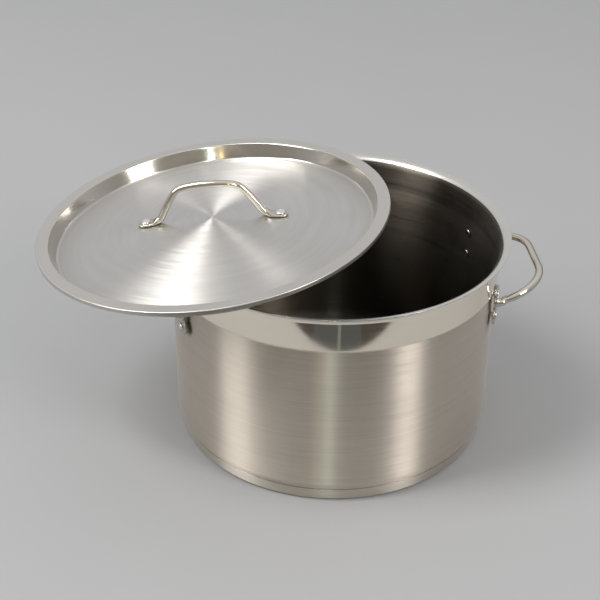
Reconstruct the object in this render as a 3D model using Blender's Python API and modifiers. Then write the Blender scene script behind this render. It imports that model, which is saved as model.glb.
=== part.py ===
"""A 36 cm commercial stock pot, with its lid resting askew on the rim.

Metres, +Z up. The origin is the centre of the pot's base, on the surface it stands on, and the
side handles lie on the X axis. Each physical piece is its own object.
"""

import math

import bmesh
import bpy
from mathutils import Vector

GAP = 0.0003                      # between neighbouring pieces
TURN_STEPS = 64                   # facets round the pot, its base and its lid

# Pot: radii and heights of the outer surface
SHEET = 0.0010
WALL_RADIUS = 0.180
BAND_RADIUS = 0.1828              # the polished band below the rim
BAND_LINE_Z = 0.195
BAND_STEP = 0.0035                # height of the rounded step from wall to band
COVE_Z = 0.2303                   # where the band starts to flare
COVE_RADIUS = 0.0104
CORNER_RADIUS = 0.016
CORNER_CENTRE = (0.164, 0.0265)   # (radius, height) of the base corner's arc
INSIDE_RADIUS = WALL_RADIUS - SHEET

# Encapsulated base: a thin cup round a disc of aluminium
CAP_SHEET = 0.0006
CAP_TOP = (0.1765, 0.0155)
CAP_LOW_RADIUS = 0.1752
CAP_CORNER_RADIUS = 0.005
DISC_RADIUS = 0.1725
DISC_BOTTOM_Z = CAP_SHEET + GAP
DISC_TOP_Z = CORNER_CENTRE[1] - CORNER_RADIUS - GAP

# Side handles
PLATE_AZIMUTH = math.radians(22.5)
PLATE_Z = 0.178
RIVET_SPACING = 0.027
PLATE_BACK_RADIUS = 0.1831        # distance of a plate's back face from the pot's axis
PLATE_THICKNESS = 0.0024
LOBE_RADIUS = 0.0103
WAIST_HALF_WIDTH = 0.0055
BOSS_RADIUS = 0.0032              # pressed feet round the rivets, which stay below the band's line
ROD_RADIUS = 0.004
ROD_Z = 0.1812
ROD_TILT = math.radians(16.5)
LOOP_DEPTH = 0.058
LOOP_HALF_WIDTH = 0.069
LOOP_CORNER_RADIUS = 0.048
WELD_FLARE = ((0.0, 1.45), (0.0015, 1.3), (0.0032, 1.05))   # (distance from plate, radius factor)

# Rivets
SHANK_RADIUS = 0.0020
HOLE_RADIUS = SHANK_RADIUS + GAP
HEAD_RADIUS = 0.0043
LID_HEAD_RADIUS = 0.0052
HEAD_HEIGHT = 0.0023
TAIL_RADIUS = 0.0037
TAIL_HEIGHT = 0.0016
RIVET_STEPS = 12

# Lid, in its own frame: origin in the top plane of the flange, on the lid's axis
LID_SHEET = 0.0010
LID_RADIUS = 0.1948
LID_EDGE_DROP = 0.0046
LID_EDGE_ROUND = 0.0013
FLANGE_INNER_RADIUS = 0.1809
RECESS_RADIUS = 0.1754
RECESS_DEPTH = 0.0171
RING_RADIUS = 0.1727              # inner edge of the small ring round the panel
PANEL_RADIUS = 0.1715
PANEL_APEX_Z = -0.0010
PANEL_POWER = 1.65
LID_CENTRE = (-0.1340, 0.0078, 0.2556)
LID_ROTATION = (math.radians(-0.41), math.radians(-7.3), 0.0)

# Lid handle, in a frame on the lid's axis turned about it
BOW_TURN = math.radians(-8.2)
BOW_ROD_RADIUS = 0.00375
BOW_RIVET_X = 0.0746
BOW_TIP_X = 0.0830
FOOT_HALF_WIDTH = 0.0065
FOOT_THICKNESS = 0.0026
FOOT_FLAT_FROM_X = 0.0670         # the foot is flat outside this, the rod round inside FOOT_BEND_X
FOOT_BEND_X = 0.0585
BOW_SHAPE = ((0.0470, 0.0180), (0.0362, 0.0325), (0.0265, 0.0367), (0.0132, 0.0384), (0.0, 0.0389))
SECTION_POINTS = 12


def clear_scene():
    for obj in list(bpy.data.objects):
        bpy.data.objects.remove(obj, do_unlink=True)


def new_collection(name):
    collection = bpy.data.collections.new(name)
    bpy.context.scene.collection.children.link(collection)
    return collection


def new_material(name, colour, roughness, metallic=1.0):
    material = bpy.data.materials.new(name)
    material.use_nodes = True
    shader = material.node_tree.nodes["Principled BSDF"]
    shader.inputs["Base Color"].default_value = (*colour, 1.0)
    shader.inputs["Roughness"].default_value = roughness
    shader.inputs["Metallic"].default_value = metallic
    return material


def add_object(name, data, collection, material=None):
    obj = bpy.data.objects.new(name, data)
    collection.objects.link(obj)
    if material:
        data.materials.append(material)
    return obj


def arc(centre, radius, start, end, steps):
    """Points of an arc in the (radius, height) plane, from the start angle to the end, in degrees."""
    angles = [math.radians(start + (end - start) * i / steps) for i in range(steps + 1)]
    return [(centre[0] + radius * math.cos(a), centre[1] + radius * math.sin(a)) for a in angles]


def turned(name, profile, collection, material=None, steps=TURN_STEPS):
    """A profile of (radius, height) points, from top to bottom down its outer side, turned about Z."""
    mesh = bpy.data.meshes.new(name)
    edges = [(i, i + 1) for i in range(len(profile) - 1)]
    mesh.from_pydata([(r, 0.0, z) for r, z in profile], edges, [])
    obj = add_object(name, mesh, collection, material)
    screw = obj.modifiers.new("turn", "SCREW")
    screw.steps = screw.render_steps = steps
    screw.use_merge_vertices = True
    screw.merge_threshold = 0.00001
    screw.use_smooth_shade = True
    return obj


def thicken(obj, thickness):
    """Gives a sheet its thickness, on the side away from its normals."""
    solidify = obj.modifiers.new("sheet", "SOLIDIFY")
    solidify.thickness = thickness
    solidify.offset = -1.0
    solidify.use_even_offset = True
    solidify.use_quality_normals = True


def cut(obj, cutter, operation="DIFFERENCE"):
    boolean = obj.modifiers.new(cutter.name, "BOOLEAN")
    boolean.operation = operation
    boolean.object = cutter
    boolean.solver = "EXACT"


def cylinders(name, placements, radius, collection, segments=16):
    """One helper object that holds a cylinder for each (centre, direction, length) given."""
    shape = bmesh.new()
    for centre, direction, length in placements:
        turn = direction.to_track_quat("Z", "Y").to_matrix().to_4x4()
        turn.translation = centre
        bmesh.ops.create_cone(shape, cap_ends=True, segments=segments, radius1=radius, radius2=radius,
                              depth=length, matrix=turn)
    mesh = bpy.data.meshes.new(name)
    shape.to_mesh(mesh)
    shape.free()
    obj = add_object(name, mesh, collection)
    obj.hide_render = True
    obj.display_type = "WIRE"
    return obj


def smooth_path(points, per_span):
    """Points along a Catmull-Rom curve through the given ones, which run on straight past its ends."""
    points = [Vector(p) for p in points]
    ends = [2 * points[0] - points[1], *points, 2 * points[-1] - points[-2]]
    path = []
    for a, b, c, d in zip(ends, ends[1:], ends[2:], ends[3:]):
        for i in range(per_span):
            t = i / per_span
            path.append(0.5 * (2 * b + (c - a) * t + (2 * a - 5 * b + 4 * c - d) * t**2
                               + (3 * b - a - 3 * c + d) * t**3))
    return [*path, points[-1]]


# ---------------------------------------------------------------- pot and base

def pot_profile():
    corner_z = CORNER_CENTRE[1]
    step = BAND_RADIUS - WALL_RADIUS
    return [
        *arc((BAND_RADIUS + COVE_RADIUS, COVE_Z), COVE_RADIUS, 90, 180, 5),
        (BAND_RADIUS, BAND_LINE_Z + BAND_STEP),
        (BAND_RADIUS - 0.3 * step, BAND_LINE_Z + 0.4 * BAND_STEP),
        (WALL_RADIUS + 0.15 * step, BAND_LINE_Z + 0.05 * BAND_STEP),
        (WALL_RADIUS, BAND_LINE_Z - 0.05 * BAND_STEP),
        *arc((CORNER_CENTRE[0], corner_z), CORNER_RADIUS, 0, -90, 5),
        (0.0, corner_z - CORNER_RADIUS),
    ]


def make_base(collection, cap_material, disc_material):
    corner = (CAP_LOW_RADIUS - CAP_CORNER_RADIUS, CAP_CORNER_RADIUS)
    cap = turned("base_cap", [CAP_TOP, *arc(corner, CAP_CORNER_RADIUS, 0, -90, 3), (0.0, 0.0)],
                 collection, cap_material)
    thicken(cap, CAP_SHEET)
    turned("base_core_disc", [
        (0.0, DISC_TOP_Z), (DISC_RADIUS - 0.006, DISC_TOP_Z), (DISC_RADIUS, DISC_TOP_Z - 0.0025),
        (DISC_RADIUS, 0.0050), (DISC_RADIUS - 0.0035, DISC_BOTTOM_Z), (0.0, DISC_BOTTOM_Z),
    ], collection, disc_material)


# ---------------------------------------------------------------- rivets

def rivet_profile(grip, head_radius):
    """A rivet on the Z axis: the head's underside at 0, the shank down to -grip, the tail below it."""
    head = [(head_radius * math.sin(a), HEAD_HEIGHT * math.cos(a)) for a in (0, 0.5, 1.0, 1.4)]
    tail = [(TAIL_RADIUS * math.sin(a), -grip - TAIL_HEIGHT * math.cos(a)) for a in (1.4, 0.8, 0)]
    return [*head, (head_radius, 0.0), (SHANK_RADIUS, 0.0),
            (SHANK_RADIUS, -grip), (TAIL_RADIUS, -grip), *tail]


def make_rivet(name, head_at, outward, grip, collection, material, head_radius=HEAD_RADIUS, parent=None):
    rivet = turned(name, rivet_profile(grip, head_radius), collection, material, RIVET_STEPS)
    rivet.location = head_at
    rivet.rotation_mode = "QUATERNION"
    rivet.rotation_quaternion = outward.to_track_quat("Z", "Y")
    rivet.parent = parent
    return rivet


# ---------------------------------------------------------------- side handles

def radial(azimuth):
    return Vector((math.cos(azimuth), math.sin(azimuth), 0.0))


def at_radius(azimuth, radius, z):
    return radial(azimuth) * radius + Vector((0.0, 0.0, z))


def plate_azimuths():
    """Name and azimuth of the four handle plates."""
    return {
        "right_front": -PLATE_AZIMUTH,
        "right_rear": PLATE_AZIMUTH,
        "left_front": math.pi + PLATE_AZIMUTH,
        "left_rear": math.pi - PLATE_AZIMUTH,
    }


def plate_outline():
    """A plate seen from outside: two round lobes at the rivets, drawn in to a waist between them."""
    lobe_y = RIVET_SPACING / 2
    waist_radius = ((lobe_y**2 + WAIST_HALF_WIDTH**2 - LOBE_RADIUS**2)
                    / (2 * (LOBE_RADIUS - WAIST_HALF_WIDTH)))
    waist_x = WAIST_HALF_WIDTH + waist_radius
    meet = math.degrees(math.atan2(lobe_y, waist_x))
    upper = arc((0.0, lobe_y), LOBE_RADIUS, -meet, 180 + meet, 12)
    lower = arc((0.0, -lobe_y), LOBE_RADIUS, 180 - meet, 360 + meet, 12)
    left_waist = arc((-waist_x, 0.0), waist_radius, meet, -meet, 6)
    right_waist = arc((waist_x, 0.0), waist_radius, 180 + meet, 180 - meet, 6)
    return [*upper, *left_waist[1:-1], *lower, *right_waist[1:-1]]


def plate_blank():
    """The flat pressed plate as a mesh, back face at z = 0, its long side along Y."""
    outline = bpy.data.curves.new("plate_outline", "CURVE")
    outline.dimensions = "2D"
    outline.fill_mode = "BOTH"
    outline.extrude = PLATE_THICKNESS / 2
    points = plate_outline()
    spline = outline.splines.new("POLY")
    spline.points.add(len(points) - 1)
    for point, (x, y) in zip(spline.points, points):
        point.co = (x, y, 0.0, 1.0)
    spline.use_cyclic_u = True
    guide = bpy.data.objects.new("plate_outline", outline)
    bpy.context.scene.collection.objects.link(guide)
    graph = bpy.context.evaluated_depsgraph_get()
    mesh = bpy.data.meshes.new_from_object(guide.evaluated_get(graph))
    shape = bmesh.new()
    shape.from_mesh(mesh)
    bmesh.ops.remove_doubles(shape, verts=shape.verts, dist=0.00001)
    bmesh.ops.translate(shape, verts=shape.verts, vec=(0.0, 0.0, PLATE_THICKNESS / 2))
    bmesh.ops.recalc_face_normals(shape, faces=shape.faces)
    shape.to_mesh(mesh)
    shape.free()
    bpy.data.objects.remove(guide)
    return mesh


def rivet_heights():
    return {"upper": PLATE_Z + RIVET_SPACING / 2, "lower": PLATE_Z - RIVET_SPACING / 2}


def make_plates(collection, cutters, steel, rivet_steel):
    """The four plates on their pressed feet, with their rivets. Returns the cutter of the holes."""
    wall_holes, bosses = [], []
    boss_inner, boss_outer = WALL_RADIUS + GAP, PLATE_BACK_RADIUS + 0.5 * PLATE_THICKNESS
    outer_face = PLATE_BACK_RADIUS + PLATE_THICKNESS
    for azimuth in plate_azimuths().values():
        for z in rivet_heights().values():
            wall_holes.append((at_radius(azimuth, WALL_RADIUS, z), radial(azimuth), 0.020))
            middle = (boss_inner + boss_outer) / 2
            bosses.append((at_radius(azimuth, middle, z), radial(azimuth), boss_outer - boss_inner))
    holes = cylinders("rivet_holes", wall_holes, HOLE_RADIUS, cutters, RIVET_STEPS)
    feet = cylinders("plate_feet", bosses, BOSS_RADIUS, cutters)
    blank = plate_blank()
    grip = outer_face + GAP - (INSIDE_RADIUS - 2 * GAP)
    for name, azimuth in plate_azimuths().items():
        plate = add_object(name + "_plate", blank.copy(), collection, steel)
        plate.location = at_radius(azimuth, PLATE_BACK_RADIUS, PLATE_Z)
        plate.rotation_euler = (math.pi / 2, 0.0, azimuth + math.pi / 2)
        cut(plate, feet_of(feet, plate, cutters), "UNION")
        cut(plate, holes)
        for level, z in rivet_heights().items():
            make_rivet(f"{name}_{level}_rivet", at_radius(azimuth, outer_face + GAP, z),
                       radial(azimuth), grip, collection, rivet_steel)
    bpy.data.objects.remove(feet)
    return holes


def feet_of(feet, plate, cutters):
    """The two feet that belong to a plate, as a helper of their own."""
    shape = bmesh.new()
    shape.from_mesh(feet.data)
    far = [v for v in shape.verts if (v.co - plate.location).length > 2 * RIVET_SPACING]
    bmesh.ops.delete(shape, geom=far)
    mesh = bpy.data.meshes.new(plate.name + "_feet")
    shape.to_mesh(mesh)
    shape.free()
    obj = add_object(plate.name + "_feet", mesh, cutters)
    obj.hide_render = True
    obj.display_type = "WIRE"
    return obj


def handle_path():
    """The right handle's centre line from its front plate to its middle: (point, radius factor)."""
    normal = radial(-PLATE_AZIMUTH)
    start = at_radius(-PLATE_AZIMUTH, PLATE_BACK_RADIUS + PLATE_THICKNESS + GAP, ROD_Z)
    weld = [(start + normal * distance, factor) for distance, factor in WELD_FLARE]
    root = weld[-1][0] + normal * 0.0015
    outward = Vector((math.cos(ROD_TILT), 0.0, math.sin(ROD_TILT)))
    chord = Vector((root.x, 0.0, root.z))

    def in_loop(depth, side):
        return chord + outward * depth + Vector((0.0, side, 0.0))

    depth = LOOP_DEPTH - (root - start).length
    corner = [in_loop(x, y) for x, y in arc(
        (depth - LOOP_CORNER_RADIUS, -(LOOP_HALF_WIDTH - LOOP_CORNER_RADIUS)),
        LOOP_CORNER_RADIUS, -90, 0, 6)]
    leg = [root.lerp(corner[0], share) for share in (0.25, 0.6)]
    return [*weld, *((point, 1.0) for point in [*leg, *corner, in_loop(depth, 0.0)])]


def make_rods(collection, steel):
    half = handle_path()
    mirrored = [(Vector((p.x, -p.y, p.z)), factor) for p, factor in reversed(half[:-1])]
    path = [*half, *mirrored]
    for name, turn in (("right_handle_rod", 0.0), ("left_handle_rod", math.pi)):
        curve = bpy.data.curves.new(name, "CURVE")
        curve.dimensions = "3D"
        curve.bevel_depth = ROD_RADIUS
        curve.bevel_resolution = 3
        curve.use_fill_caps = True
        spline = curve.splines.new("POLY")
        spline.points.add(len(path) - 1)
        for point, (place, factor) in zip(spline.points, path):
            point.co = (*place, 1.0)
            point.radius = factor
        rod = add_object(name, curve, collection, steel)
        rod.rotation_euler = (0.0, 0.0, turn)


# ---------------------------------------------------------------- lid

def panel_z(radius):
    """Height of the lid's domed panel, which rises from its ring to the middle."""
    rise = PANEL_APEX_Z + RECESS_DEPTH
    return PANEL_APEX_Z - rise * (radius / PANEL_RADIUS) ** PANEL_POWER


def lid_profile():
    panel = [(PANEL_RADIUS * share, panel_z(PANEL_RADIUS * share)) for share in (0, 0.2, 0.4, 0.6, 0.8, 1)]
    edge = arc((LID_RADIUS - LID_EDGE_ROUND, -LID_EDGE_ROUND), LID_EDGE_ROUND, 90, 0, 2)
    return [
        *panel,
        (RING_RADIUS, -RECESS_DEPTH - 0.0004),
        (RECESS_RADIUS - 0.0008, -RECESS_DEPTH),
        (RECESS_RADIUS, -RECESS_DEPTH + 0.0010),
        (FLANGE_INNER_RADIUS - 0.0004, -0.0010),
        (FLANGE_INNER_RADIUS + 0.0006, 0.0),
        *edge,
        (LID_RADIUS, -LID_EDGE_DROP),
    ]


def panel_normal(x):
    slope = (panel_z(x + 0.001) - panel_z(x - 0.001)) / 0.002
    return Vector((-slope, 0.0, 1.0)).normalized()


def blend(x, start, end):
    """0 at start, 1 at end, smooth between."""
    t = min(max((x - start) / (end - start), 0.0), 1.0)
    return t * t * (3 - 2 * t)


def bow_sections():
    """(centre, half width, half thickness, squareness) of the bow, from its right tip to its middle."""
    foot_x = [BOW_TIP_X - FOOT_HALF_WIDTH * (1 - math.cos(math.radians(a))) for a in (8, 30, 55, 90)]
    foot_x += [0.0725, FOOT_FLAT_FROM_X, 0.0646, 0.0621, FOOT_BEND_X + 0.0008]
    sections = []
    for x in foot_x:
        flatness = blend(x, FOOT_BEND_X, FOOT_FLAT_FROM_X)
        half_width = BOW_ROD_RADIUS + (FOOT_HALF_WIDTH - BOW_ROD_RADIUS) * flatness
        past_round = max(x - (BOW_TIP_X - FOOT_HALF_WIDTH), 0.0)
        half_width *= math.sqrt(1 - (past_round / FOOT_HALF_WIDTH) ** 2)
        half_thickness = BOW_ROD_RADIUS + (FOOT_THICKNESS / 2 - BOW_ROD_RADIUS) * flatness
        z = panel_z(x) + GAP + half_thickness
        sections.append((Vector((x, 0.0, z)), half_width, half_thickness, 2 + 3 * flatness))
    bend = Vector((FOOT_BEND_X - 0.0018, 0.0, sections[-1][0].z + 0.0018))
    rod = smooth_path([bend, *((x, 0.0, z) for x, z in BOW_SHAPE)], 3)
    sections += [(point, BOW_ROD_RADIUS, BOW_ROD_RADIUS, 2) for point in rod]
    return sections


def section_ring(shape, centre, across, half_width, half_thickness, power):
    """Vertices of a superellipse: a circle at power 2, a rounded bar above it."""
    ring = []
    for i in range(SECTION_POINTS):
        angle = 2 * math.pi * (i + 0.5) / SECTION_POINTS
        c, s = math.cos(angle), math.sin(angle)
        side = math.copysign(abs(c) ** (2 / power), c) * half_width
        up = math.copysign(abs(s) ** (2 / power), s) * half_thickness
        ring.append(shape.verts.new(centre + Vector((0.0, side, 0.0)) + across * up))
    return ring


def bow_mesh():
    """The bow as a loft from flattened foot to round rod to flattened foot."""
    right = bow_sections()
    left = [(Vector((-c.x, 0.0, c.z)), *rest) for c, *rest in reversed(right[:-1])]
    sections = [*right, *left]
    centres = [section[0] for section in sections]
    shape = bmesh.new()
    rings = []
    for i, (centre, *size) in enumerate(sections):
        along = centres[min(i + 1, len(centres) - 1)] - centres[max(i - 1, 0)]
        across = Vector((along.z, 0.0, -along.x)).normalized()
        rings.append(section_ring(shape, centre, across, *size))
    for ring, following in zip(rings, rings[1:]):
        for i in range(SECTION_POINTS):
            j = (i + 1) % SECTION_POINTS
            shape.faces.new((ring[i], following[i], following[j], ring[j]))
    shape.faces.new(rings[0])
    shape.faces.new(list(reversed(rings[-1])))
    bmesh.ops.recalc_face_normals(shape, faces=shape.faces)
    mesh = bpy.data.meshes.new("lid_handle")
    shape.to_mesh(mesh)
    shape.free()
    mesh.shade_smooth()
    return mesh


def make_lid(collection, cutters, steel, rod_steel, rivet_steel):
    frame = bpy.data.objects.new("lid_frame", None)
    collection.objects.link(frame)
    frame.location = LID_CENTRE
    frame.rotation_euler = LID_ROTATION
    bow_frame = bpy.data.objects.new("lid_handle_frame", None)
    collection.objects.link(bow_frame)
    bow_frame.parent = frame
    bow_frame.rotation_euler = (0.0, 0.0, BOW_TURN)

    lid = turned("lid_shell", lid_profile(), collection, steel)
    thicken(lid, LID_SHEET)
    lid.parent = frame
    bow = add_object("lid_handle", bow_mesh(), collection, rod_steel)
    bow.parent = bow_frame

    placements = []
    for name, side in (("right", 1), ("left", -1)):
        outward = panel_normal(BOW_RIVET_X)
        seat = Vector((BOW_RIVET_X, 0.0, panel_z(BOW_RIVET_X)))
        outward.x *= side
        seat.x *= side
        placements.append((seat, outward, 0.020))
        grip = FOOT_THICKNESS + 3 * GAP + LID_SHEET
        make_rivet(f"lid_{name}_rivet", seat + outward * (FOOT_THICKNESS + 2 * GAP), outward, grip,
                   collection, rivet_steel, LID_HEAD_RADIUS, bow_frame)
    holes = cylinders("lid_rivet_holes", placements, HOLE_RADIUS, cutters, RIVET_STEPS)
    holes.parent = bow_frame
    cut(lid, holes)
    cut(bow, holes)


def main():
    clear_scene()
    pieces = new_collection("stock_pot")
    cutters = new_collection("cutters")
    brushed = new_material("brushed_steel", (0.56, 0.54, 0.51), 0.32)
    polished = new_material("polished_steel", (0.62, 0.60, 0.55), 0.12)
    satin = new_material("satin_rivet", (0.66, 0.66, 0.65), 0.35)
    aluminium = new_material("base_aluminium", (0.72, 0.73, 0.74), 0.45)

    pot = turned("pot_body", pot_profile(), pieces, brushed)
    thicken(pot, SHEET)
    make_base(pieces, brushed, aluminium)
    holes = make_plates(pieces, cutters, polished, satin)
    cut(pot, holes)
    make_rods(pieces, polished)
    make_lid(pieces, cutters, brushed, polished, satin)


main()
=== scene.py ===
"""Looks of the 36 cm stock pot with its lid askew: fine meshes, steel finishes, light and camera."""

import math

import bmesh
import bpy
from mathutils import Matrix, Vector


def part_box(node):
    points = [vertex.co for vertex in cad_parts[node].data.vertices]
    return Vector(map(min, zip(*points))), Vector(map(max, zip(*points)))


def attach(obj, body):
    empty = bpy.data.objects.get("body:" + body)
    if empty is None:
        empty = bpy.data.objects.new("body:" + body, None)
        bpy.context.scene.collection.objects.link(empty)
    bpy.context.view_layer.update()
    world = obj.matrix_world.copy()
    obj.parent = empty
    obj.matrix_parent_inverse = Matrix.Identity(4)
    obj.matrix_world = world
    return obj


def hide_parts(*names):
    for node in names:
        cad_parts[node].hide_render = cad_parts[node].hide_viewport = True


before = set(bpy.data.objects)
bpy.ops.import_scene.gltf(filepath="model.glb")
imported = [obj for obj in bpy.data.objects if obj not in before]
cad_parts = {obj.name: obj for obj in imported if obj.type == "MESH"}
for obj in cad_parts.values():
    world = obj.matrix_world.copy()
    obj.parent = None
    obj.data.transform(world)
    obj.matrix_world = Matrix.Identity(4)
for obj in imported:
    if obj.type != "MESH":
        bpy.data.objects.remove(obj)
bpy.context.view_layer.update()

MM = 0.001
FINE_STEPS = 256                  # facets round the large turned pieces
SUPPORT_REACH = 0.5 * MM          # how near a bend its supporting row lies
SUPPORT_BEND = math.radians(1.5)
TOUCHING = 1e-7                   # points nearer than this are one point
TURNED_CREASE = math.radians(35)  # edges that bend more than this are shaded sharp
SWEPT_CREASE = math.radians(50)
PLATE_CREASE = math.radians(30)

# ---------------------------------------------------------------- sizes, from the frame and the model

pot_low, pot_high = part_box("pot_body")
cap_low, cap_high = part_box("base_cap")
LIP_RADIUS = pot_high.x
RIM_Z = pot_high.z
SHEET = 1.0 * MM
COVE_RADIUS = 10.4 * MM
BAND_RADIUS = LIP_RADIUS - COVE_RADIUS
COVE_Z = RIM_Z - COVE_RADIUS - SHEET
WALL_RADIUS = BAND_RADIUS - 2.8 * MM
BAND_LINE_Z = 195 * MM
BAND_STEP = 3.5 * MM
INNER_STEP_BELOW = 8 * MM         # inside, the step is spread over more height than outside
INNER_STEP_LONGER = 18 * MM
LIP_EDGE = 0.4 * MM
LIP_ROUNDING = 0.35 * MM
CORNER_RADIUS = 16 * MM
CORNER_CENTRE = (WALL_RADIUS - CORNER_RADIUS, pot_low.z + CORNER_RADIUS)
CAP_RADIUS = cap_high.x
CAP_LOW_RADIUS = CAP_RADIUS - 1.3 * MM
CAP_CORNER_RADIUS = 5 * MM
CAP_TOP_Z = 15.5 * MM
CAP_SHEET = 0.6 * MM

PLATE_AZIMUTH = math.radians(22.5)
PLATE_Z = 178 * MM
RIVET_SPACING = 27 * MM
PLATE_BACK_RADIUS = BAND_RADIUS + 0.3 * MM
PLATE_THICKNESS = 2.4 * MM
PLATE_FACE_RADIUS = PLATE_BACK_RADIUS + PLATE_THICKNESS
PLATE_EDGE_RADIUS = 0.6 * MM
LOBE_RADIUS = 10.3 * MM
WAIST_HALF_WIDTH = 5.5 * MM
BOSS_RADIUS = 3.2 * MM            # the pressed feet behind the rivets
BOSS_SUNK = 0.4 * MM              # how far they reach into the plate
ROD_RADIUS = 4 * MM
ROD_Z = 181.2 * MM
ROD_TILT = math.radians(16.5)
LOOP_DEPTH = 58 * MM
LOOP_HALF_WIDTH = 69 * MM
LOOP_CORNER_RADIUS = 48 * MM
ROOT_DISTANCE = 4.7 * MM          # where the rod's straight leg starts, out from the plate
WELD_LENGTH = 3.4 * MM
WELD_FLARE = 0.42                 # how much wider than the rod the weld starts
WELD_RIPPLE = 0.05
WELD_RIPPLES_ROUND = 9

HEAD_RADIUS = 4.3 * MM
LID_HEAD_RADIUS = 5.2 * MM
HEAD_HEIGHT = 2.3 * MM
HEAD_ARC = 1.42                   # how far down its dome a head reaches, in radians
HEAD_LAND = 0.12 * MM
HEAD_UNDERCUT = 0.15 * MM
SHANK_RADIUS = 2.0 * MM
TAIL_RADIUS = 3.7 * MM
TAIL_HEIGHT = 1.6 * MM
TAIL_ARC = 1.45
GAP = 0.3 * MM

LID_RADIUS = 194.8 * MM
LID_SHEET = 1.0 * MM
LID_EDGE_DROP = 4.6 * MM
LID_BEND_RADIUS = 1.3 * MM
FLANGE_INNER_RADIUS = 180.9 * MM
RECESS_RADIUS = 175.4 * MM
RECESS_DEPTH = 17.1 * MM
PANEL_RADIUS = 171.5 * MM
PANEL_APEX_Z = -1.0 * MM
PANEL_POWER = 1.65
LID_PLACE = (Matrix.Translation((-134.0 * MM, 7.8 * MM, 255.6 * MM))
             @ Matrix.Rotation(math.radians(-7.3), 4, "Y")
             @ Matrix.Rotation(math.radians(-0.41), 4, "X"))
BOW_PLACE = LID_PLACE @ Matrix.Rotation(math.radians(-8.2), 4, "Z")
BOW_ROD_RADIUS = 3.75 * MM
BOW_RIVET_X = 74.6 * MM
BOW_TIP_X = 83 * MM
FOOT_HALF_WIDTH = 6.5 * MM
FOOT_THICKNESS = 2.6 * MM
FOOT_FLAT_FROM_X = 67.0 * MM
FOOT_BEND_X = 58.5 * MM
FOOT_BEND_REACH = 1.8 * MM
BOW_SHAPE = [(x * MM, z * MM) for x, z in ((47, 18), (36.2, 32.5), (26.5, 36.7), (13.2, 38.4), (0, 38.9))]


# ---------------------------------------------------------------- outlines

def arc(centre, radius, start, end, steps):
    angles = [math.radians(start + (end - start) * i / steps) for i in range(steps + 1)]
    return [(centre[0] + radius * math.cos(a), centre[1] + radius * math.sin(a)) for a in angles]


def smooth_path(points, per_span):
    """Points along a Catmull-Rom curve through the given ones."""
    points = [Vector(p) for p in points]
    ends = [2 * points[0] - points[1], *points, 2 * points[-1] - points[-2]]
    path = []
    for a, b, c, d in zip(ends, ends[1:], ends[2:], ends[3:]):
        for i in range(per_span):
            t = i / per_span
            path.append(0.5 * (2 * b + (c - a) * t + (2 * a - 5 * b + 4 * c - d) * t**2
                               + (3 * b - a - 3 * c + d) * t**3))
    return [*path, points[-1]]


def rounded(points, radius, steps=5):
    """The outline with each inner corner replaced by an arc-like curve that starts radius away from it."""
    result = [Vector(points[0])]
    for before, corner, after in zip(points, points[1:], points[2:]):
        before, corner, after = Vector(before), Vector(corner), Vector(after)
        reach_in = min(radius, 0.48 * (before - corner).length)
        reach_out = min(radius, 0.48 * (after - corner).length)
        start = corner + (before - corner).normalized() * reach_in
        end = corner + (after - corner).normalized() * reach_out
        for i in range(steps + 1):
            t = i / steps
            result.append((1 - t) ** 2 * start + 2 * t * (1 - t) * corner + t * t * end)
    result.append(Vector(points[-1]))
    return [tuple(p) for p in result]


def offset(outline, distance):
    """The outline moved to its right by distance, seen along it."""
    points = [Vector(p) for p in outline]
    moved = []
    for i, point in enumerate(points):
        before = point - points[i - 1] if i else points[1] - point
        after = points[i + 1] - point if i + 1 < len(points) else before
        normals = [Vector((d.y, -d.x)).normalized() for d in (before, after)]
        mean = (normals[0] + normals[1]).normalized()
        moved.append(tuple(point + mean * (distance / max(mean.dot(normals[0]), 0.5))))
    return moved


def blend(x, start, end):
    """0 at start, 1 at end, smooth between."""
    t = min(max((x - start) / (end - start), 0.0), 1.0)
    return t * t * (3 - 2 * t)


def radial(azimuth):
    return Vector((math.cos(azimuth), math.sin(azimuth), 0.0))


def at_radius(azimuth, radius, z):
    return radial(azimuth) * radius + Vector((0.0, 0.0, z))


# ---------------------------------------------------------------- mesh makers

def add_piece(name, mesh, materials, place=None, body="pot", nodes=(), own_axes=False):
    """A piece of the object, in place, riding on its body and standing for its CAD nodes."""
    if place and not own_axes:
        mesh.transform(place)
    obj = bpy.data.objects.new(name, mesh)
    bpy.context.scene.collection.objects.link(obj)
    for material in materials:
        mesh.materials.append(material)
    if own_axes:
        obj.matrix_world = place
    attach(obj, body)
    if nodes:
        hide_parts(*nodes)
    return obj


def with_supports(rows):
    """(outline point, index) rows, with one more near each bend of a long span to keep its shading flat."""
    points = [Vector(point) for point, _ in rows]
    result = [rows[0]]
    for i in range(1, len(rows)):
        span = points[i] - points[i - 1]
        reach = SUPPORT_REACH / max(span.length, 1e-9)
        for k, share in ((i - 1, reach), (i, 1 - reach)):
            inner = 0 < k < len(rows) - 1
            bend = (points[k] - points[k - 1]).angle(points[k + 1] - points[k]) if inner else 0.0
            if bend > SUPPORT_BEND and span.length > 5 * SUPPORT_REACH:
                result.append((tuple(points[i - 1] + span * share), rows[i][1]))
        result.append(rows[i])
    return result


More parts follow.
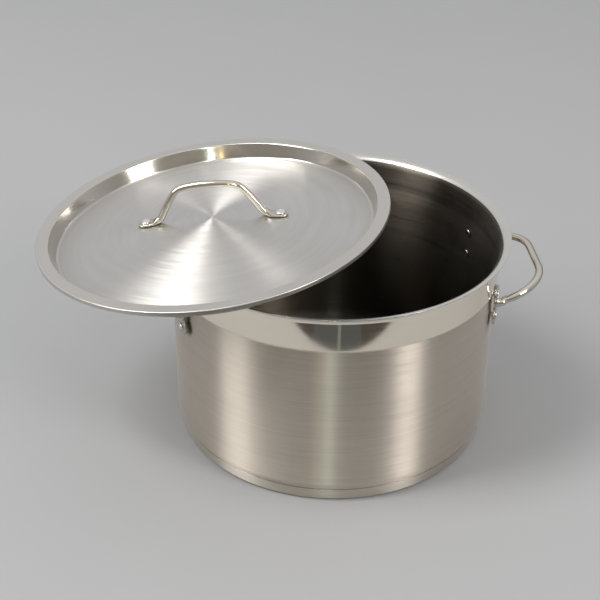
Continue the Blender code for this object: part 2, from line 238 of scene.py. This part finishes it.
def lathe(name, zones, steps=FINE_STEPS):
    """A closed turned mesh. Each zone is (material index, outline), and the outlines join end to end."""
    rows = []
    for index, outline in zones:
        for point in outline:
            if not rows or (Vector(point) - Vector(rows[-1][0])).length > TOUCHING:
                rows.append((point, index))
    rows = with_supports(rows)
    shape = bmesh.new()
    rings = []
    for (r, z), _ in rows:
        if r < TOUCHING:
            rings.append([shape.verts.new((0.0, 0.0, z))])
        else:
            rings.append([shape.verts.new((r * math.cos(a), r * math.sin(a), z))
                          for a in (2 * math.pi * i / steps for i in range(steps))])
    for ring, following, (_, index) in zip(rings, rings[1:], rows[1:]):
        for i in range(steps):
            j = (i + 1) % steps
            if len(ring) == 1:
                corners = (ring[0], following[i], following[j])
            elif len(following) == 1:
                corners = (ring[i], following[0], ring[j])
            else:
                corners = (ring[i], following[i], following[j], ring[j])
            face = shape.faces.new(corners)
            face.material_index = index
            face.smooth = True
    bmesh.ops.recalc_face_normals(shape, faces=shape.faces)
    mesh = bpy.data.meshes.new(name)
    shape.to_mesh(mesh)
    shape.free()
    mesh.set_sharp_from_angle(angle=TURNED_CREASE)
    return mesh


def swept(name, sections):
    """A tube through (centre, across, side, outline) sections. UVs: U round it, V along it in metres."""
    shape = bmesh.new()
    uv = shape.loops.layers.uv.new("along")
    rings, lengths = [], []
    for centre, across, side, outline in sections:
        lengths.append(lengths[-1] + (centre - sections[len(rings) - 1][0]).length if rings else 0.0)
        rings.append([shape.verts.new(centre + side * x + across * y) for x, y in outline])
    count = len(rings[0])
    for k in range(len(rings) - 1):
        for i in range(count):
            j = (i + 1) % count
            face = shape.faces.new((rings[k][i], rings[k + 1][i], rings[k + 1][j], rings[k][j]))
            face.smooth = True
            places = ((i, k), (i, k + 1), (i + 1, k + 1), (i + 1, k))
            for loop, (u, v) in zip(face.loops, places):
                loop[uv].uv = (u / count, lengths[v])
    shape.faces.new(rings[0])
    shape.faces.new(list(reversed(rings[-1])))
    bmesh.ops.recalc_face_normals(shape, faces=shape.faces)
    mesh = bpy.data.meshes.new(name)
    shape.to_mesh(mesh)
    shape.free()
    mesh.set_sharp_from_angle(angle=SWEPT_CREASE)
    return mesh


# ---------------------------------------------------------------- materials

ACROSS_GRAIN = 0.25               # the anisotropic turn that spreads highlights across the grain
SMUDGE_SCALE = 22.0
BUMP_DISTANCE = 0.0002


def add_node(tree, kind, inputs=None, **settings):
    node = tree.nodes.new(kind)
    for key, value in settings.items():
        setattr(node, key, value)
    for key, value in (inputs or {}).items():
        if isinstance(value, bpy.types.NodeSocket):
            tree.links.new(value, node.inputs[key])
        else:
            node.inputs[key].default_value = value
    return node


def scaled(tree, vector, scale):
    return add_node(tree, "ShaderNodeMapping", {"Vector": vector, "Scale": scale}).outputs["Vector"]


def noise(tree, vector, detail, rough=0.6):
    return add_node(tree, "ShaderNodeTexNoise",
                    {"Vector": vector, "Scale": 1.0, "Detail": detail, "Roughness": rough}).outputs["Fac"]


def remap(tree, value, from_low, from_high, to_low, to_high):
    return add_node(tree, "ShaderNodeMapRange", {
        "Value": value, "From Min": from_low, "From Max": from_high,
        "To Min": to_low, "To Max": to_high}).outputs["Result"]


def mixed(tree, share, low, high):
    """A colour from low to high, each either a colour or another node's output."""
    mix = add_node(tree, "ShaderNodeMix", {"Factor": share}, data_type="RGBA")
    for key, value in ((6, low), (7, high)):
        if isinstance(value, bpy.types.NodeSocket):
            tree.links.new(value, mix.inputs[key])
        else:
            mix.inputs[key].default_value = (*value, 1.0)
    return mix.outputs[2]


def object_vector(tree):
    return add_node(tree, "ShaderNodeTexCoord").outputs["Object"]


def turned_grain(tree, lines, round_about):
    """Coordinates that vary fast along Z and slowly round it: lines cut on a lathe."""
    return scaled(tree, object_vector(tree), (round_about, round_about, lines))


def spun_grain(tree, lines, round_about):
    """Coordinates that vary fast with the distance from the axis and slowly round it."""
    flat = scaled(tree, object_vector(tree), (1.0, 1.0, 0.0))
    radius = add_node(tree, "ShaderNodeVectorMath", {0: flat}, operation="LENGTH").outputs["Value"]
    around = add_node(tree, "ShaderNodeVectorMath", {0: flat}, operation="NORMALIZE").outputs["Vector"]
    parts = add_node(tree, "ShaderNodeSeparateXYZ", {0: around})
    joined = add_node(tree, "ShaderNodeCombineXYZ", {0: radius, 1: parts.outputs[0], 2: parts.outputs[1]})
    return scaled(tree, joined.outputs[0], (lines, round_about, round_about))


def drawn_grain(tree, lines, along):
    """Coordinates that vary fast round a rod and slowly along it."""
    uv = add_node(tree, "ShaderNodeTexCoord").outputs["UV"]
    return scaled(tree, uv, (lines, along, 1.0))


def tumbled_grain(tree, lines, _):
    return scaled(tree, object_vector(tree), (lines, lines, lines))


def metal(name, colour, roughness, grain, lines, round_about, depth,
          variation=0.25, tint=0.06, anisotropic=0.0, smudges=0.04, edge=(1.0, 1.0, 1.0, 1.0)):
    """Metal with a directional grain. The edge colour tints its grazing reflections; a dark one paints shade
    along the piece's rims.
    """
    material = bpy.data.materials.new(name)
    material.use_nodes = True
    tree = material.node_tree
    shader = tree.nodes["Principled BSDF"]
    shader.inputs["Metallic"].default_value = 1.0
    shader.inputs["Specular Tint"].default_value = edge
    shader.inputs["Anisotropic"].default_value = anisotropic
    if anisotropic:
        shader.inputs["Anisotropic Rotation"].default_value = ACROSS_GRAIN
        tangent = add_node(tree, "ShaderNodeTangent", direction_type="RADIAL", axis="Z")
        tree.links.new(tangent.outputs["Tangent"], shader.inputs["Tangent"])
    fine = noise(tree, grain(tree, lines, round_about), 5.0)
    cloud = noise(tree, scaled(tree, object_vector(tree), (SMUDGE_SCALE,) * 3), 3.0)
    spread = remap(tree, fine, 0.3, 0.7, roughness * (1 - variation), roughness * (1 + variation))
    smudged = remap(tree, cloud, 0.35, 0.7, -smudges, smudges)
    total = add_node(tree, "ShaderNodeMath", {0: spread, 1: smudged}, operation="ADD")
    tree.links.new(total.outputs[0], shader.inputs["Roughness"])
    broad = noise(tree, grain(tree, lines / 3, round_about), 2.0)
    both = add_node(tree, "ShaderNodeMath", {0: fine, 1: broad}, operation="ADD").outputs[0]
    tone = remap(tree, both, 0.7, 1.3, 1 - tint, 1 + tint)
    shade = add_node(tree, "ShaderNodeVectorMath", {0: colour, "Scale": tone}, operation="SCALE")
    tree.links.new(shade.outputs["Vector"], shader.inputs["Base Color"])
    bump = add_node(tree, "ShaderNodeBump", {"Strength": depth, "Distance": BUMP_DISTANCE, "Height": fine})
    tree.links.new(bump.outputs["Normal"], shader.inputs["Normal"])
    return material


def make_materials():
    return {
        "wall": metal("wall_brushed", (0.60, 0.545, 0.475), 0.38, turned_grain, 1300, 14, 0.05,
                      variation=0.14, tint=0.07, anisotropic=1.0, smudges=0.02),
        # the band's steel is given a brighter, warmer colour than the wall's: painted highlight in its
        # reflections
        "band": metal("band_polished_painted_highlight", (0.86, 0.79, 0.68), 0.07, turned_grain, 300, 4, 0.015,
                      tint=0.02, smudges=0.01),
        "rim": metal("rim_satin", (0.62, 0.60, 0.565), 0.24, turned_grain, 900, 4, 0.02,
                     tint=0.02, smudges=0.02),
        # the inside wall's steel is given a far darker colour than the outside's: painted shade inside the
        # pot
        "inside": metal("inside_satin_painted_shade", (0.16, 0.14, 0.115), 0.38, turned_grain, 1500, 4, 0.05,
                        tint=0.03, anisotropic=1.0),
        # the inside floor's steel is given a darker colour than the outside's: painted shade at the bottom
        # of the pot
        "floor_inside": metal("inside_floor_painted_shade", (0.28, 0.26, 0.23), 0.32, spun_grain, 700, 2, 0.06,
                              tint=0.04, anisotropic=0.6),
        "base": metal("base_brushed", (0.60, 0.555, 0.49), 0.36, turned_grain, 1800, 10, 0.05,
                      variation=0.12, tint=0.05, anisotropic=1.0, smudges=0.02),
        "underside": metal("underside_spun", (0.45, 0.43, 0.40), 0.34, spun_grain, 600, 2, 0.12,
                           anisotropic=0.6),
        "panel": metal("lid_panel_spun", (0.62, 0.60, 0.575), 0.42, spun_grain, 420, 1.2, 0.05,
                       variation=0.14, tint=0.05, anisotropic=0.93, smudges=0.02),
        "recess": metal("lid_recess_bright", (0.58, 0.55, 0.50), 0.14, turned_grain, 700, 4, 0.03,
                        tint=0.03, smudges=0.02),
        "flange": metal("lid_flange_satin", (0.56, 0.535, 0.50), 0.36, spun_grain, 1500, 2, 0.06,
                        variation=0.1, tint=0.03),
        # its dark edge colour darkens its grazing reflections: painted shade along the rods' rims
        "rod": metal("rod_polished", (0.66, 0.62, 0.54), 0.09, drawn_grain, 60, 30, 0.03,
                     tint=0.03, smudges=0.02, edge=(0.22, 0.20, 0.16, 1.0)),
        "plate": metal("plate_tumbled", (0.50, 0.48, 0.44), 0.20, tumbled_grain, 700, 0, 0.10),
        "rivet": metal("rivet_satin", (0.72, 0.72, 0.71), 0.24, tumbled_grain, 1200, 0, 0.12),
        "core": metal("base_core_aluminium", (0.72, 0.73, 0.74), 0.45, tumbled_grain, 500, 0, 0.2),
    }


# ---------------------------------------------------------------- pot and base

def band_step(radius_change, line_z, height, steps=8):
    """The rounded step from the wall up to the band, as (how far out, height) from bottom to top."""
    return [(radius_change * blend(i, 0, steps), line_z + height * i / steps) for i in range(steps + 1)]


def make_pot(materials):
    step = band_step(BAND_RADIUS - WALL_RADIUS, BAND_LINE_Z, BAND_STEP)
    inner_step = band_step(BAND_RADIUS - WALL_RADIUS, BAND_LINE_Z - INNER_STEP_BELOW,
                           BAND_STEP + INNER_STEP_LONGER)
    inner = WALL_RADIUS - SHEET
    cove = (LIP_RADIUS, COVE_Z)
    lip = rounded([(LIP_RADIUS - LIP_EDGE, RIM_Z), (LIP_RADIUS, RIM_Z),
                   (LIP_RADIUS, RIM_Z - SHEET), (LIP_RADIUS - LIP_EDGE, RIM_Z - SHEET)], LIP_ROUNDING, 4)
    zones = [
        (1, [(0.0, pot_low.z + SHEET), *((r * MM, pot_low.z + SHEET) for r in (20, 60, 100, 140)),
             *arc(CORNER_CENTRE, CORNER_RADIUS - SHEET, -90, -60, 5)]),
        (0, [*arc(CORNER_CENTRE, CORNER_RADIUS - SHEET, -60, 0, 9), (inner, 0.11),
             *((inner + r, z) for r, z in inner_step), *arc(cove, COVE_RADIUS + SHEET, 180, 145, 7)]),
        (5, [*arc(cove, COVE_RADIUS + SHEET, 145, 92, 10), *lip, *arc(cove, COVE_RADIUS, 92, 165, 14)]),
        (2, [*arc(cove, COVE_RADIUS, 165, 180, 4), *((WALL_RADIUS + r, z) for r, z in reversed(step))]),
        (3, [(WALL_RADIUS, 0.16), (WALL_RADIUS, 0.11), (WALL_RADIUS, 0.06),
             *arc(CORNER_CENTRE, CORNER_RADIUS, 0, -60, 12)]),
        (4, [*arc(CORNER_CENTRE, CORNER_RADIUS, -60, -90, 6), (0.0, pot_low.z)]),
    ]
    names = ("inside", "floor_inside", "band", "wall", "underside", "rim")
    add_piece("pot_shell", lathe("pot_shell", zones), [materials[n] for n in names],
              nodes=["pot_body"])


def make_base(materials):
    corner = (CAP_LOW_RADIUS - CAP_CORNER_RADIUS, CAP_CORNER_RADIUS)
    outer = [(CAP_RADIUS, CAP_TOP_Z), *arc(corner, CAP_CORNER_RADIUS, 0, -90, 12)]
    inner = [(r, z) for r, z in reversed(offset(outer, CAP_SHEET))]
    zones = [(1, [(0.0, CAP_SHEET), (0.1, CAP_SHEET)]), (0, [*inner, *outer]), (1, [(0.1, 0.0), (0.0, 0.0)])]
    add_piece("base_cup", lathe("base_cup", zones), [materials["base"], materials["underside"]],
              nodes=["base_cap"])
    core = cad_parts["base_core_disc"]
    core.data.materials.clear()
    core.data.materials.append(materials["core"])


# ---------------------------------------------------------------- rivets, plates, side handles

def dome(radius, height, angles):
    """The outline of a dome, at angles from its top."""
    return [(radius * math.sin(a), height * math.cos(a)) for a in angles]


def rivet_mesh(name, grip, head_radius=HEAD_RADIUS):
    """A rivet on the Z axis, its head's underside at 0."""
    head = dome(head_radius, HEAD_HEIGHT, [i * HEAD_ARC / 12 for i in range(13)])
    edge = [(head_radius, HEAD_LAND), (head_radius - HEAD_UNDERCUT, 0.0)]
    angles = [TAIL_ARC * (1 - i / 10) for i in range(11)]
    tail = [(r, -grip - z) for r, z in dome(TAIL_RADIUS, TAIL_HEIGHT, angles)]
    outline = [*head, *edge, (SHANK_RADIUS, 0.0), (SHANK_RADIUS, -grip), (TAIL_RADIUS, -grip), *tail]
    return lathe(name, [(0, outline)], 40)


def facing(centre, outward):
    """The transform that puts a piece at centre with its Z axis outward."""
    return Matrix.Translation(centre) @ outward.to_track_quat("Z", "Y").to_matrix().to_4x4()


def plate_outline():
    """Two round lobes at the rivets, drawn in to a waist between them."""
    lobe_y = RIVET_SPACING / 2
    waist_radius = ((lobe_y**2 + WAIST_HALF_WIDTH**2 - LOBE_RADIUS**2)
                    / (2 * (LOBE_RADIUS - WAIST_HALF_WIDTH)))
    waist_x = WAIST_HALF_WIDTH + waist_radius
    meet = math.degrees(math.atan2(lobe_y, waist_x))
    return [*arc((0.0, lobe_y), LOBE_RADIUS, -meet, 180 + meet, 40),
            *arc((-waist_x, 0.0), waist_radius, meet, -meet, 16)[1:-1],
            *arc((0.0, -lobe_y), LOBE_RADIUS, 180 - meet, 360 + meet, 40),
            *arc((waist_x, 0.0), waist_radius, 180 + meet, 180 - meet, 16)[1:-1]]


def plate_mesh(name):
    """The pressed plate with rounded edges, back face at z = 0, and a boss behind each rivet."""
    shape = bmesh.new()
    corners = [shape.verts.new((x, y, 0.0)) for x, y in plate_outline()]
    base = shape.faces.new(corners)
    top = bmesh.ops.extrude_face_region(shape, geom=[base])
    raised = [g for g in top["geom"] if isinstance(g, bmesh.types.BMVert)]
    bmesh.ops.translate(shape, verts=raised, vec=(0.0, 0.0, PLATE_THICKNESS))
    rims = [e for e in shape.edges if abs(e.verts[0].co.z - e.verts[1].co.z) < TOUCHING]
    bmesh.ops.bevel(shape, geom=rims, offset=PLATE_EDGE_RADIUS, segments=4, profile=0.5, affect="EDGES")
    depth = PLATE_BACK_RADIUS - WALL_RADIUS - GAP
    for y in (-RIVET_SPACING / 2, RIVET_SPACING / 2):
        place = Matrix.Translation((0.0, y, (BOSS_SUNK - depth) / 2))
        bmesh.ops.create_cone(shape, cap_ends=True, segments=32, radius1=BOSS_RADIUS, radius2=BOSS_RADIUS,
                              depth=depth + BOSS_SUNK, matrix=place)
    bmesh.ops.recalc_face_normals(shape, faces=shape.faces)
    mesh = bpy.data.meshes.new(name)
    shape.to_mesh(mesh)
    shape.free()
    mesh.shade_smooth()
    mesh.set_sharp_from_angle(angle=PLATE_CREASE)
    return mesh


def make_plates(materials):
    grip = PLATE_FACE_RADIUS + GAP - (WALL_RADIUS - SHEET - 2 * GAP)
    places = {"right_front": -PLATE_AZIMUTH, "right_rear": PLATE_AZIMUTH,
              "left_front": math.pi + PLATE_AZIMUTH, "left_rear": math.pi - PLATE_AZIMUTH}
    for name, azimuth in places.items():
        turn = Matrix.Rotation(azimuth + math.pi / 2, 4, "Z") @ Matrix.Rotation(math.pi / 2, 4, "X")
        place = Matrix.Translation(at_radius(azimuth, PLATE_BACK_RADIUS, PLATE_Z)) @ turn
        add_piece(f"{name}_pad", plate_mesh(f"{name}_pad"), [materials["plate"]], place,
                  nodes=[f"{name}_plate"])
        for level, up in (("upper", 1), ("lower", -1)):
            seat = at_radius(azimuth, PLATE_FACE_RADIUS + GAP, PLATE_Z + up * RIVET_SPACING / 2)
            piece = f"{name}_{level}_rivet_fine"
            add_piece(piece, rivet_mesh(piece, grip), [materials["rivet"]], facing(seat, radial(azimuth)),
                      nodes=[f"{name}_{level}_rivet"])


def handle_path():
    """The right handle's centre line, from plate to plate."""
    normal = radial(-PLATE_AZIMUTH)
    start = at_radius(-PLATE_AZIMUTH, PLATE_FACE_RADIUS + GAP, ROD_Z)
    weld = [start + normal * d * MM for d in (0, 0.5, 1.0, 1.5, 2.1, 2.7, 3.2)]
    root = start + normal * ROOT_DISTANCE
    outward = Vector((math.cos(ROD_TILT), 0.0, math.sin(ROD_TILT)))
    chord = Vector((root.x, 0.0, root.z))
    depth = LOOP_DEPTH - (root - start).length
    corner = [chord + outward * x + Vector((0.0, y, 0.0)) for x, y in arc(
        (depth - LOOP_CORNER_RADIUS, -(LOOP_HALF_WIDTH - LOOP_CORNER_RADIUS)),
        LOOP_CORNER_RADIUS, -90, 0, 14)]
    leg = [root.lerp(corner[0], share) for share in (0.25, 0.5, 0.75)]
    middle = chord + outward * depth
    bar = [corner[-1].lerp(middle, share) for share in (0.2, 0.4, 0.6, 0.8)]
    half = [*smooth_path([weld[-1], *leg, *corner], 3), *bar, middle]
    half = [*weld[:-1], *half]
    return [*half, *(Vector((p.x, -p.y, p.z)) for p in reversed(half[:-1]))]


def rod_sections(path, sides=36):
    """Sections of the rod, wider and rippled where it is welded to the plates at both ends."""
    lengths = [0.0]
    for before, after in zip(path, path[1:]):
        lengths.append(lengths[-1] + (after - before).length)
    side = Vector((0.0, 0.0, 1.0))
    sections = []
    for i, (point, length) in enumerate(zip(path, lengths)):
        along = (path[min(i + 1, len(path) - 1)] - path[max(i - 1, 0)]).normalized()
        side = (side - along * side.dot(along)).normalized()
        from_end = min(length, lengths[-1] - length)
        weld = max(1 - from_end / WELD_LENGTH, 0.0)
        outline = []
        for k in range(sides):
            angle = 2 * math.pi * k / sides
            ripple = WELD_RIPPLE * weld * math.sin(WELD_RIPPLES_ROUND * angle) * math.sin(math.pi * weld)
            size = ROD_RADIUS * (1 + WELD_FLARE * weld**0.8 + ripple)
            outline.append((size * math.cos(angle), size * math.sin(angle)))
        sections.append((point, along.cross(side), side.copy(), outline))
    return sections


def make_rods(materials):
    for side, turn in (("right", 0.0), ("left", math.pi)):
        name = f"{side}_handle"
        add_piece(name, swept(name, rod_sections(handle_path())), [materials["rod"]],
                  Matrix.Rotation(turn, 4, "Z"), nodes=[f"{side}_handle_rod"])


# ---------------------------------------------------------------- lid

def panel_z(radius):
    """Height of the lid's domed panel, which rises from its ring to the middle."""
    rise = PANEL_APEX_Z + RECESS_DEPTH
    return PANEL_APEX_Z - rise * (radius / PANEL_RADIUS) ** PANEL_POWER


def make_lid(materials):
    panel = [(PANEL_RADIUS * i / 24, panel_z(PANEL_RADIUS * i / 24)) for i in range(25)]
    rim = rounded([panel[-1], (172.7 * MM, -17.5 * MM), (RECESS_RADIUS - 0.8 * MM, -RECESS_DEPTH),
                   (RECESS_RADIUS + 0.2 * MM, -16.0 * MM), (FLANGE_INNER_RADIUS - 0.2 * MM, -0.6 * MM),
                   (FLANGE_INNER_RADIUS + 0.8 * MM, 0.0), (LID_RADIUS, 0.0),
                   (LID_RADIUS, -LID_EDGE_DROP)], LID_BEND_RADIUS, 6)
    top = [*panel, *rim[1:]]
    under = [(max(r, 0.0), z) for r, z in reversed(offset(top, LID_SHEET))]
    wall_from = next(i for i, (r, z) in enumerate(top) if r > RECESS_RADIUS)
    flange_from = next(i for i, (r, z) in enumerate(top) if z > -0.5 * MM and r > FLANGE_INNER_RADIUS - MM)
    zones = [(0, top[:wall_from + 1]), (1, top[wall_from:flange_from + 1]),
             (2, top[flange_from:]), (3, under)]
    names = ("panel", "recess", "flange", "underside")
    add_piece("lid_pan", lathe("lid_pan", zones), [materials[n] for n in names], LID_PLACE, "lid",
              ["lid_shell"], own_axes=True)


def bow_sections(sides=40):
    """The bow from its right tip to its left one: flattened foot, round rod, flattened foot."""
    round_from = BOW_TIP_X - FOOT_HALF_WIDTH
    foot_x = [round_from + FOOT_HALF_WIDTH * math.cos(math.radians(a)) for a in range(6, 91, 7)]
    foot_x += [round_from - i * (round_from - FOOT_BEND_X - 0.8 * MM) / 14 for i in range(1, 15)]
    half = []
    for x in foot_x:
        flatness = blend(x, FOOT_BEND_X, FOOT_FLAT_FROM_X)
        half_width = BOW_ROD_RADIUS + (FOOT_HALF_WIDTH - BOW_ROD_RADIUS) * flatness
        half_width *= math.sqrt(1 - (max(x - round_from, 0.0) / FOOT_HALF_WIDTH) ** 2)
        half_thickness = BOW_ROD_RADIUS + (FOOT_THICKNESS / 2 - BOW_ROD_RADIUS) * flatness
        centre = Vector((x, 0.0, panel_z(x) + GAP + half_thickness))
        half.append((centre, half_width, half_thickness, 2 + 3 * flatness))
    bend = Vector((FOOT_BEND_X - FOOT_BEND_REACH, 0.0, half[-1][0].z + FOOT_BEND_REACH))
    rod = smooth_path([bend, *((x, 0.0, z) for x, z in BOW_SHAPE)], 8)
    half += [(point, BOW_ROD_RADIUS, BOW_ROD_RADIUS, 2) for point in rod]
    whole = [*half, *((Vector((-c.x, 0.0, c.z)), *size) for c, *size in reversed(half[:-1]))]
    sections = []
    for i, (centre, half_width, half_thickness, power) in enumerate(whole):
        along = whole[min(i + 1, len(whole) - 1)][0] - whole[max(i - 1, 0)][0]
        across = Vector((along.z, 0.0, -along.x)).normalized()
        outline = []
        for k in range(sides):
            c, s = math.cos(2 * math.pi * k / sides), math.sin(2 * math.pi * k / sides)
            outline.append((math.copysign(abs(c) ** (2 / power), c) * half_width,
                            math.copysign(abs(s) ** (2 / power), s) * half_thickness))
        sections.append((centre, across, Vector((0.0, 1.0, 0.0)), outline))
    return sections


def make_bow(materials):
    add_piece("lid_bow", swept("lid_bow", bow_sections()), [materials["rod"]], BOW_PLACE, "lid",
              ["lid_handle"])
    slope = (panel_z(BOW_RIVET_X + MM) - panel_z(BOW_RIVET_X - MM)) / (2 * MM)
    for name, side in (("right", 1), ("left", -1)):
        outward = Vector((-slope * side, 0.0, 1.0)).normalized()
        seat = Vector((BOW_RIVET_X * side, 0.0, panel_z(BOW_RIVET_X)))
        head_at = seat + outward * (FOOT_THICKNESS + 2 * GAP)
        piece = f"lid_{name}_rivet_fine"
        grip = FOOT_THICKNESS + 3 * GAP + LID_SHEET
        add_piece(piece, rivet_mesh(piece, grip, LID_HEAD_RADIUS), [materials["rivet"]],
                  BOW_PLACE @ facing(head_at, outward), "lid", [f"lid_{name}_rivet"])


# ---------------------------------------------------------------- studio

FLOOR_HALF_WIDTH = 6.0
FLOOR_Z = -0.5 * MM
LIGHT_DISTANCE = 4.5
TABLE_EDGE_Y = -0.477
REFLECTED_CARDS = [               # cards beyond the table's near edge, seen only in reflections as painted reflections: name, left, right, near, height, colour
    ("painted_dark_reflection_card", -3.0, 3.0, -3.5, 0.002, (0.022, 0.019, 0.015)),
    ("painted_blue_reflection_card", -0.148, 0.085, -1.2, 0.003, (0.036, 0.040, 0.042)),
    ("painted_pale_reflection_line", -0.030, -0.016, -1.2, 0.004, (0.12, 0.13, 0.125)),
]
CAMERA_AT = (-0.1459, -1.2802, 0.9379)
CAMERA_YAW = 0.0844               # radians, from +Y towards +X
CAMERA_PITCH = 0.5509             # down from level
CAMERA_ROLL = 0.0101              # about the camera's own axis
CAMERA_LENS = 79.7
CAMERA_SENSOR = 36.0


def flat_plane(name, low, high, z, material):
    """A level rectangle of the studio, from corner low to corner high."""
    mesh = bpy.data.meshes.new(name)
    corners = [(low[0], low[1], z), (high[0], low[1], z), (high[0], high[1], z), (low[0], high[1], z)]
    mesh.from_pydata(corners, [], [(0, 1, 2, 3)])
    mesh.materials.append(material)
    obj = bpy.data.objects.new(name, mesh)
    bpy.context.scene.collection.objects.link(obj)
    return obj


def plain_material(name, colour, roughness):
    material = bpy.data.materials.new(name)
    material.use_nodes = True
    tree = material.node_tree
    shader = tree.nodes["Principled BSDF"]
    shader.inputs["Roughness"].default_value = roughness
    cloud = noise(tree, scaled(tree, object_vector(tree), (3.0, 3.0, 3.0)), 2.0)
    tone = remap(tree, cloud, 0.3, 0.7, 0.99, 1.01)
    shade = add_node(tree, "ShaderNodeVectorMath", {0: colour, "Scale": tone}, operation="SCALE")
    tree.links.new(shade.outputs["Vector"], shader.inputs["Base Color"])
    return material


def softbox(name, azimuth, elevation, width, height, power, colour):
    """An area light seen from the pot at an azimuth (degrees from +X) and elevation, facing it."""
    light = bpy.data.lights.new(name, "AREA")
    light.shape = "RECTANGLE"
    light.size, light.size_y = width, height
    light.energy = power
    light.color = colour
    obj = bpy.data.objects.new(name, light)
    bpy.context.scene.collection.objects.link(obj)
    level = math.cos(math.radians(elevation))
    toward = radial(math.radians(azimuth)) * level + Vector((0.0, 0.0, math.sin(math.radians(elevation))))
    obj.location = toward * LIGHT_DISTANCE
    obj.rotation_euler = (-toward).to_track_quat("-Z", "Y").to_euler()
    obj.visible_camera = False


def make_world():
    """A pale room that is darker on the camera's side, except overhead."""
    world = bpy.data.worlds.new("studio")
    bpy.context.scene.world = world
    world.use_nodes = True
    tree = world.node_tree
    direction = add_node(tree, "ShaderNodeTexCoord").outputs["Generated"]
    parts = add_node(tree, "ShaderNodeSeparateXYZ", {0: direction})
    to_back = remap(tree, parts.outputs[1], -0.5, 0.5, 0.0, 1.0)
    walls = mixed(tree, to_back, (0.34, 0.325, 0.30), (0.72, 0.73, 0.75))
    to_top = remap(tree, parts.outputs[2], 0.35, 0.95, 0.0, 1.0)
    room = mixed(tree, to_top, walls, (0.80, 0.80, 0.805))
    tree.links.new(room, tree.nodes["Background"].inputs["Color"])


def make_studio():
    floor = plain_material("floor_pale", (0.32, 0.322, 0.329), 0.8)
    flat_plane("floor", (-FLOOR_HALF_WIDTH,) * 2, (FLOOR_HALF_WIDTH,) * 2, FLOOR_Z, floor)
    for name, left, right, near, height, colour in REFLECTED_CARDS:
        material = plain_material(f"{name}_matt", colour, 0.9)
        card = flat_plane(name, (left, near), (right, TABLE_EDGE_Y), height, material)
        # the cards show only in glossy reflections: painted dark reflections in the polished steel
        for ray in ("camera", "diffuse", "transmission", "volume_scatter", "shadow"):
            setattr(card, f"visible_{ray}", False)
    make_world()
    softbox("left_window", -163, 29, 1.6, 2.7, 78, (1.0, 0.985, 0.96))
    softbox("left_upper", -168, 60, 1.3, 1.7, 95, (1.0, 0.985, 0.97))
    softbox("right_window", -43, 32, 1.2, 2.7, 84, (1.0, 0.97, 0.95))
    softbox("narrow_window", -97, 30, 0.14, 3.0, 17, (0.86, 1.0, 0.92))
    softbox("amber_window", -104, 20, 0.16, 1.4, 3, (1.0, 0.72, 0.38))


def make_camera():
    camera = bpy.data.cameras.new("camera")
    camera.lens = CAMERA_LENS
    camera.sensor_width = CAMERA_SENSOR
    obj = bpy.data.objects.new("camera", camera)
    bpy.context.scene.collection.objects.link(obj)
    level_ahead = Vector((math.sin(CAMERA_YAW), math.cos(CAMERA_YAW), 0.0))
    ahead = level_ahead * math.cos(CAMERA_PITCH) - Vector((0.0, 0.0, math.sin(CAMERA_PITCH)))
    level_right = Vector((math.cos(CAMERA_YAW), -math.sin(CAMERA_YAW), 0.0))
    level_up = level_right.cross(ahead)
    right = math.cos(CAMERA_ROLL) * level_right + math.sin(CAMERA_ROLL) * level_up
    up = -math.sin(CAMERA_ROLL) * level_right + math.cos(CAMERA_ROLL) * level_up
    axes = Matrix((right, up, -ahead)).transposed().to_4x4()
    obj.matrix_world = Matrix.Translation(CAMERA_AT) @ axes
    bpy.context.scene.camera = obj


make_camera()
materials = make_materials()
make_pot(materials)
make_base(materials)
make_plates(materials)
make_rods(materials)
make_lid(materials)
make_bow(materials)
make_studio()
bpy.context.scene.view_settings.view_transform = "Standard"
